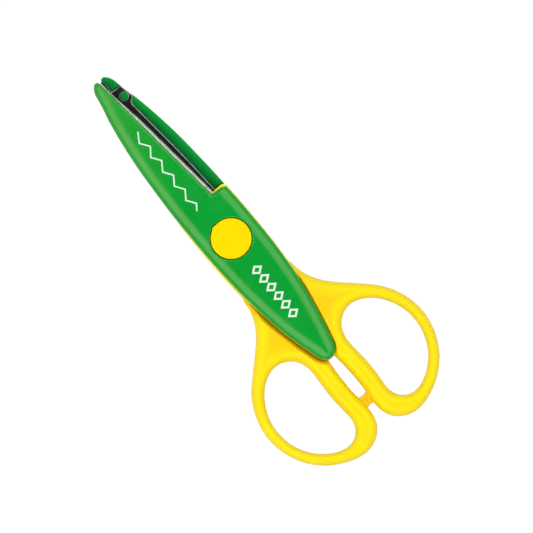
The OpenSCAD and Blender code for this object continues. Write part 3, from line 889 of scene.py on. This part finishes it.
def build_print(name, strokes, body):
    """Thin raised ink on the cover: strokes are (points, width, closed)."""
    pts, faces = [], []
    for line, width, closed in strokes:
        dense = []
        m = len(line)
        for i in range(m if closed else m - 1):
            a, b = np.array(line[i], float), np.array(line[(i + 1) % m], float)
            k = max(1, int(np.linalg.norm(b - a) / 0.6))
            dense += [a + (b - a) * j / k for j in range(k)]
        if not closed:
            dense.append(np.array(line[-1], float))
        le, ri = ribbon(dense, width, closed)
        n, base = len(dense), len(pts)
        for q in (le, ri):
            for dz in (0.018, -0.05):
                pts += [(x, y, float(top_z(x)) + dz) for x, y in q]
        lt, lb, rt, rb = (base + n * k for k in range(4))
        for i in range(n if closed else n - 1):
            j = (i + 1) % n
            faces += [(lt + i, rt + i, rt + j, lt + j), (lb + i, lb + j, rb + j, rb + i),
                      (lt + i, lt + j, lb + j, lb + i), (rt + i, rb + i, rb + j, rt + j)]
        if not closed:
            faces += [(lt, lb, rb, rt), (lt + n - 1, rt + n - 1, rb + n - 1, lb + n - 1)]
    ob = make_mesh(name, pts, faces, body, (), smooth=False, mats=(INK,))
    bm = bmesh.new()
    bm.from_mesh(ob.data)
    bmesh.ops.recalc_face_normals(bm, faces=bm.faces)
    bm.to_mesh(ob.data)
    bm.free()
    return ob


# ------------------------------------------------------------------ build
build_cover("front_cover_shell", 1, "front_half", False)
build_cover("rear_cover_shell", -1, "rear_half", True)
build_handle("front_handle_moulding", "front_half", False)
build_handle("rear_handle_moulding", "rear_half", True)
build_blade("front_blade_strip", 1, "front_half", False)
build_blade("rear_blade_strip", -1, "rear_half", True)
build_cap("front_cap_disc", "front_half", False)
build_cap("rear_cap_disc", "rear_half", True)

zig = [(15.5, 3.1), (17.7, 1.4), (21.0, 3.6), (24.2, 1.3), (27.6, 3.5), (30.8, 1.2), (34.2, 3.45), (37.6, 1.1),
       (40.9, 3.4), (44.1, 0.95), (47.5, 3.3), (51.0, 1.0)]
build_print("front_cover_pattern_print", [(zig, 0.52, False)], "front_half")
marks = []
for k in range(6):
    cx = -14.6 - 4.05 * k
    marks.append(([(cx + 1.45, 0.1), (cx, 1.95), (cx - 1.45, 0.1), (cx, -1.75)], 0.72, True))
build_print("front_cover_trim_print", marks, "front_half")

for n in ("pivot_post", "pivot_screw", "spring_washer", "flat_washer"):
    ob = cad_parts[n]
    ob.data.materials.clear()
    ob.data.materials.append(PIN)

# ------------------------------------------------------------------ stage, light, camera
floor_me = bpy.data.meshes.new("floor")
floor_me.from_pydata([(-4, -4, -0.0004), (4, -4, -0.0004), (4, 4, -0.0004), (-4, 4, -0.0004)], [], [(0, 1, 2, 3)])
floor = bpy.data.objects.new("floor", floor_me)
bpy.context.scene.collection.objects.link(floor)
fm, ft, fb = node_set("floor_white")
fb.inputs["Base Color"].default_value = (0.72, 0.72, 0.72, 1)
fb.inputs["Roughness"].default_value = 0.9
fb.inputs["Specular IOR Level"].default_value = 0.1
white = ft.nodes.new("ShaderNodeEmission")
white.inputs["Color"].default_value = (1, 1, 1, 1)
white.inputs["Strength"].default_value = 1.02
blend = ft.nodes.new("ShaderNodeMixShader")
ft.links.new(ft.nodes.new("ShaderNodeLightPath").outputs["Is Camera Ray"], blend.inputs[0])
ft.links.new(fb.outputs[0], blend.inputs[1])
ft.links.new(white.outputs[0], blend.inputs[2])
ft.links.new(blend.outputs[0], ft.nodes["Material Output"].inputs["Surface"])
floor_me.materials.append(fm)


def strip_light(name, loc, size, power, color=(1, 1, 1)):
    la = bpy.data.lights.new(name, "AREA")
    la.shape = "RECTANGLE"
    la.size, la.size_y = size
    la.energy = power
    la.color = color
    ob = bpy.data.objects.new(name, la)
    bpy.context.scene.collection.objects.link(ob)
    ob.location = loc
    d = -np.array(loc, float)
    d /= np.linalg.norm(d)
    x = np.array([1.0, 0, 0]) if abs(d[0]) < 0.5 else np.array([0, 1.0, 0])
    z = -d
    x = x - z * (x @ z)
    x /= np.linalg.norm(x)
    y = np.cross(z, x)
    from mathutils import Matrix
    ob.matrix_world = Matrix([[x[0], y[0], z[0], loc[0]], [x[1], y[1], z[1], loc[1]], [x[2], y[2], z[2], loc[2]], [0, 0, 0, 1]])
    return ob


strip_light("strip_left", (-0.01, 0.35, 0.52), (1.1, 0.38), 3.35)
strip_light("strip_right", (-0.01, -0.38, 0.52), (1.1, 0.40), 3.0)
strip_light("end_tip", (0.52, 0.0, 0.52), (0.42, 0.20), 0.55)
strip_light("end_loops", (-0.52, 0.0, 0.52), (0.42, 0.20), 0.55)

world = bpy.data.worlds.new("studio")
bpy.context.scene.world = world
world.use_nodes = True
wt = world.node_tree
bg = wt.nodes["Background"]
tc = wt.nodes.new("ShaderNodeTexCoord")
sep = wt.nodes.new("ShaderNodeSeparateXYZ")
wt.links.new(tc.outputs["Generated"], sep.inputs[0])
wr = ramp(wt, sep.outputs["Z"], [(0.0, grey(0.95)), (0.25, grey(0.6)), (0.6, grey(0.2)), (0.9, grey(0.03)), (1.0, grey(0.02))])
wt.links.new(wr, bg.inputs["Color"])
bg.inputs["Strength"].default_value = 1.0

cam_data = bpy.data.cameras.new("camera")
cam_data.type = "ORTHO"
cam_data.ortho_scale = 0.19188
cam = bpy.data.objects.new("camera", cam_data)
bpy.context.scene.collection.objects.link(cam)
cam.location = (-0.0159, -0.0033, 0.5)
cam.rotation_euler = (0, 0, math.radians(230))
bpy.context.scene.camera = cam
cam_data.clip_end = 20
bpy.context.scene.view_settings.view_transform = "Standard"
bpy.context.scene.view_settings.look = "None"
